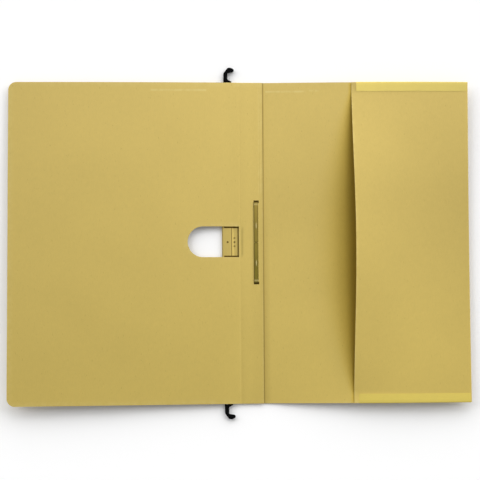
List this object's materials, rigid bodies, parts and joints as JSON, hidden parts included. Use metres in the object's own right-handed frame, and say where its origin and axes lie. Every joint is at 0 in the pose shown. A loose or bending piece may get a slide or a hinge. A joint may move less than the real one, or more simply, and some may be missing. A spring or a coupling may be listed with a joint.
{
  "type": "hanging file folder",
  "caption": "Open card hanging file folder with a hooked steel rail, folding front cover with finger hole, tongue fastener and taped side pocket.",
  "frame": {"origin": "middle of the open folder's footprint, on the table; the crease of the front cover passes through it", "axes": "+X from the front cover towards the pocket, +Y along the hanger rail, +Z up from the table. Hung in a cabinet, -X points up"},
  "size_m": [0.456, 0.348, 0.0209],
  "materials": {
    "manila_card": "matte",
    "edge_tape": "satin",
    "rail_steel": "satin",
    "black_plastic": "satin",
    "fastener_metal": "satin"
  },
  "bodies": {
    "folder": {"cover_flange": "manila_card", "back_cover": "manila_card", "pocket_panel": "manila_card", "pocket_tape_top": "edge_tape", "pocket_tape_bottom": "edge_tape", "hanger_rail": "rail_steel", "hook_top": "black_plastic", "hook_bottom": "black_plastic", "fastener_base": "fastener_metal"},
    "cover": {"front_cover": "manila_card"},
    "upper_tongue": {"tongue_top": "fastener_metal"},
    "lower_tongue": {"tongue_bottom": "fastener_metal"}
  },
  "joints": [
    {"name": "cover_fold", "type": "hinge", "parent": "folder", "child": "cover", "pos_m": [0, 0, 0.0022], "axis": [0, 1, 0], "range_deg": [0, 166]},
    {"name": "tongue_top_bend", "type": "hinge", "parent": "folder", "child": "upper_tongue", "pos_m": [0.016, 0.04, 0.00267], "axis": [-1, 0, 0], "range_deg": [0, 180]},
    {"name": "tongue_bottom_bend", "type": "hinge", "parent": "folder", "child": "lower_tongue", "pos_m": [0.016, -0.04, 0.00267], "axis": [1, 0, 0], "range_deg": [0, 180]}
  ]
}
